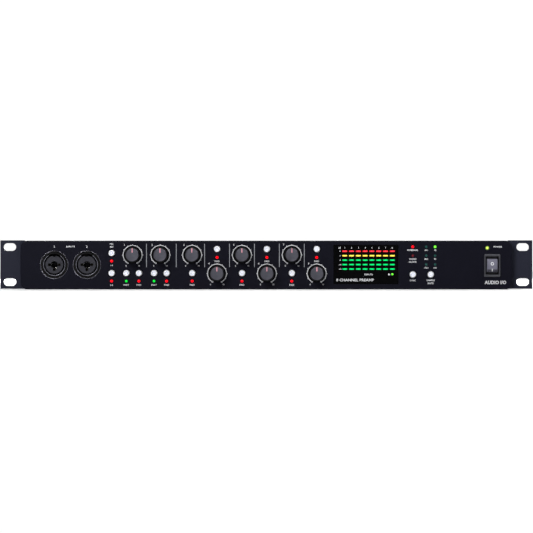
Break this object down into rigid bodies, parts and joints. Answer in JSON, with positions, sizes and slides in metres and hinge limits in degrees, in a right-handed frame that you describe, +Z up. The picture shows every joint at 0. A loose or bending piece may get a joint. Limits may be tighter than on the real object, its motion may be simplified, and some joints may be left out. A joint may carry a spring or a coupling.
{
  "type": "audio interface",
  "caption": "Rack-mount audio interface with input sockets, gain knobs, push buttons, a level meter and a power switch on its front panel.",
  "frame": {"origin": "bottom centre of the whole unit", "axes": "+Z up, front panel faces -Y, +X to the right seen from the front"},
  "size_m": [0.4826, 0.262, 0.0444],
  "materials": {
    "fascia_paint": "satin dark paint with a fine grain",
    "chassis_paint": "fine textured black powder coat",
    "ear_paint": "satin dark blue-grey paint",
    "black_screws": "black oxide",
    "display_acrylic": "gloss black",
    "red_lens": "clear red",
    "yellow_lens": "clear yellow",
    "green_lens": "clear green",
    "power_lens": "clear yellow-green",
    "switch_frame": "moulded dark grey",
    "rocker_plastic": "moulded grey",
    "socket_shell": "moulded black with a grey nose",
    "socket_insert": "moulded grey",
    "contact_metal": "plated",
    "jack_plastic": "moulded black",
    "nut_metal": "nickel plated",
    "nickel": "nickel plated",
    "optical_plastic": "moulded black",
    "inlet_plastic": "moulded black",
    "board_laminate": "green solder mask",
    "pot_metal": "plated steel",
    "transformer_iron": "varnished laminations",
    "standoff_brass": "turned",
    "ribbon_grey": "grey insulation",
    "lead_insulation": "black insulation",
    "knob_plastic": "moulded grey cap with a black skirt",
    "button_plastic": "gloss white"
  },
  "bodies": {
    "chassis": {"front_fascia": "fascia_paint", "bottom_tray": "chassis_paint", "top_cover": "chassis_paint", "rear_panel": "chassis_paint", "rack_ear_left": "ear_paint", "rack_ear_right": "ear_paint", "case_screws": "black_screws", "ear_screws": "black_screws", "display_window": "display_acrylic", "meter_lights_red": "red_lens", "meter_lights_yellow": "yellow_lens", "meter_lights_green": "green_lens", "red_led_lenses": "red_lens", "green_led_lenses": "green_lens", "power_led_lens": "power_lens", "power_switch_housing": "switch_frame", "front_input_shells": "socket_shell", "rear_input_shells": "socket_shell", "input_inserts": "socket_insert", "input_contacts": "contact_metal", "line_output_jacks": "jack_plastic", "line_output_nuts": "nut_metal", "word_clock_socket": "nickel", "optical_output_housings": "optical_plastic", "mains_inlet": "inlet_plastic", "mains_inlet_pins": "contact_metal", "main_board": "board_laminate", "control_board": "board_laminate", "gain_pots": "pot_metal", "button_switches": "jack_plastic", "power_supply_board": "board_laminate", "power_transformer": "transformer_iron", "board_standoffs": "standoff_brass", "ribbon_cable": "ribbon_grey", "mains_leads": "lead_insulation"},
    "gain_knob_1_turns": {"gain_knob_1": "knob_plastic"},
    "gain_knob_2_turns": {"gain_knob_2": "knob_plastic"},
    "gain_knob_3_turns": {"gain_knob_3": "knob_plastic"},
    "gain_knob_4_turns": {"gain_knob_4": "knob_plastic"},
    "gain_knob_5_turns": {"gain_knob_5": "knob_plastic"},
    "gain_knob_6_turns": {"gain_knob_6": "knob_plastic"},
    "gain_knob_7_turns": {"gain_knob_7": "knob_plastic"},
    "gain_knob_8_turns": {"gain_knob_8": "knob_plastic"},
    "phantom_press_upper": {"phantom_button_upper": "button_plastic"},
    "phantom_press_lower": {"phantom_button_lower": "button_plastic"},
    "instrument_press_1": {"instrument_button_1": "button_plastic"},
    "pad_press_1": {"pad_button_1": "button_plastic"},
    "instrument_press_2": {"instrument_button_2": "button_plastic"},
    "pad_press_2": {"pad_button_2": "button_plastic"},
    "pad_press_3": {"pad_button_3": "button_plastic"},
    "pad_press_4": {"pad_button_4": "button_plastic"},
    "pad_press_5": {"pad_button_5": "button_plastic"},
    "pad_press_6": {"pad_button_6": "button_plastic"},
    "pad_press_7": {"pad_button_7": "button_plastic"},
    "pad_press_8": {"pad_button_8": "button_plastic"},
    "clock_source_press": {"clock_source_button": "button_plastic"},
    "sample_rate_press": {"sample_rate_button": "button_plastic"},
    "rocker": {"power_rocker": "rocker_plastic"},
    "flap_1": {"optical_flap_1": "optical_plastic"},
    "flap_2": {"optical_flap_2": "optical_plastic"}
  },
  "joints": [
    {"name": "gain_1_turn", "type": "hinge", "parent": "chassis", "child": "gain_knob_1_turns", "pos_m": [-0.121, -0.118, 0.0312], "axis": [0, 1, 0], "range_deg": [-150, 150]},
    {"name": "gain_2_turn", "type": "hinge", "parent": "chassis", "child": "gain_knob_2_turns", "pos_m": [-0.0959, -0.118, 0.0312], "axis": [0, 1, 0], "range_deg": [-150, 150]},
    {"name": "gain_3_turn", "type": "hinge", "parent": "chassis", "child": "gain_knob_3_turns", "pos_m": [-0.0671, -0.118, 0.0312], "axis": [0, 1, 0], "range_deg": [-150, 150]},
    {"name": "gain_4_turn", "type": "hinge", "parent": "chassis", "child": "gain_knob_4_turns", "pos_m": [-0.04455, -0.118, 0.0143], "axis": [0, 1, 0], "range_deg": [-150, 150]},
    {"name": "gain_5_turn", "type": "hinge", "parent": "chassis", "child": "gain_knob_5_turns", "pos_m": [-0.022, -0.118, 0.0312], "axis": [0, 1, 0], "range_deg": [-150, 150]},
    {"name": "gain_6_turn", "type": "hinge", "parent": "chassis", "child": "gain_knob_6_turns", "pos_m": [0.00055, -0.118, 0.0143], "axis": [0, 1, 0], "range_deg": [-150, 150]},
    {"name": "gain_7_turn", "type": "hinge", "parent": "chassis", "child": "gain_knob_7_turns", "pos_m": [0.0231, -0.118, 0.0312], "axis": [0, 1, 0], "range_deg": [-150, 150]},
    {"name": "gain_8_turn", "type": "hinge", "parent": "chassis", "child": "gain_knob_8_turns", "pos_m": [0.04565, -0.118, 0.0143], "axis": [0, 1, 0], "range_deg": [-150, 150]},
    {"name": "phantom_button_upper_push", "type": "slide", "parent": "chassis", "child": "phantom_press_upper", "axis": [0, 1, 0], "range_m": [0, 0.0008], "stiffness_N_per_m": 400, "springref_m": -0.001},
    {"name": "phantom_button_lower_push", "type": "slide", "parent": "chassis", "child": "phantom_press_lower", "axis": [0, 1, 0], "range_m": [0, 0.0008], "stiffness_N_per_m": 400, "springref_m": -0.001},
    {"name": "instrument_button_1_push", "type": "slide", "parent": "chassis", "child": "instrument_press_1", "axis": [0, 1, 0], "range_m": [0, 0.0008], "stiffness_N_per_m": 400, "springref_m": -0.001},
    {"name": "pad_button_1_push", "type": "slide", "parent": "chassis", "child": "pad_press_1", "axis": [0, 1, 0], "range_m": [0, 0.0008], "stiffness_N_per_m": 400, "springref_m": -0.001},
    {"name": "instrument_button_2_push", "type": "slide", "parent": "chassis", "child": "instrument_press_2", "axis": [0, 1, 0], "range_m": [0, 0.0008], "stiffness_N_per_m": 400, "springref_m": -0.001},
    {"name": "pad_button_2_push", "type": "slide", "parent": "chassis", "child": "pad_press_2", "axis": [0, 1, 0], "range_m": [0, 0.0008], "stiffness_N_per_m": 400, "springref_m": -0.001},
    {"name": "pad_button_3_push", "type": "slide", "parent": "chassis", "child": "pad_press_3", "axis": [0, 1, 0], "range_m": [0, 0.0008], "stiffness_N_per_m": 400, "springref_m": -0.001},
    {"name": "pad_button_4_push", "type": "slide", "parent": "chassis", "child": "pad_press_4", "axis": [0, 1, 0], "range_m": [0, 0.0008], "stiffness_N_per_m": 400, "springref_m": -0.001},
    {"name": "pad_button_5_push", "type": "slide", "parent": "chassis", "child": "pad_press_5", "axis": [0, 1, 0], "range_m": [0, 0.0008], "stiffness_N_per_m": 400, "springref_m": -0.001},
    {"name": "pad_button_6_push", "type": "slide", "parent": "chassis", "child": "pad_press_6", "axis": [0, 1, 0], "range_m": [0, 0.0008], "stiffness_N_per_m": 400, "springref_m": -0.001},
    {"name": "pad_button_7_push", "type": "slide", "parent": "chassis", "child": "pad_press_7", "axis": [0, 1, 0], "range_m": [0, 0.0008], "stiffness_N_per_m": 400, "springref_m": -0.001},
    {"name": "pad_button_8_push", "type": "slide", "parent": "chassis", "child": "pad_press_8", "axis": [0, 1, 0], "range_m": [0, 0.0008], "stiffness_N_per_m": 400, "springref_m": -0.001},
    {"name": "clock_source_button_push", "type": "slide", "parent": "chassis", "child": "clock_source_press", "axis": [0, 1, 0], "range_m": [0, 0.0008], "stiffness_N_per_m": 400, "springref_m": -0.001},
    {"name": "sample_rate_button_push", "type": "slide", "parent": "chassis", "child": "sample_rate_press", "axis": [0, 1, 0], "range_m": [0, 0.0008], "stiffness_N_per_m": 400, "springref_m": -0.001},
    {"name": "power_rocker_tilt", "type": "hinge", "parent": "chassis", "child": "rocker", "pos_m": [0.2045, -0.1173, 0.0216], "axis": [1, 0, 0], "range_deg": [-20, 0]},
    {"name": "optical_flap_1_swing", "type": "hinge", "parent": "chassis", "child": "flap_1", "pos_m": [0.127, 0.123, 0.01875], "axis": [-1, 0, 0], "range_deg": [0, 80], "stiffness_Nm_per_rad": 0.0005, "springref_deg": -22.92},
    {"name": "optical_flap_2_swing", "type": "hinge", "parent": "chassis", "child": "flap_2", "pos_m": [0.1105, 0.123, 0.01875], "axis": [-1, 0, 0], "range_deg": [0, 80], "stiffness_Nm_per_rad": 0.0005, "springref_deg": -22.92}
  ]
}
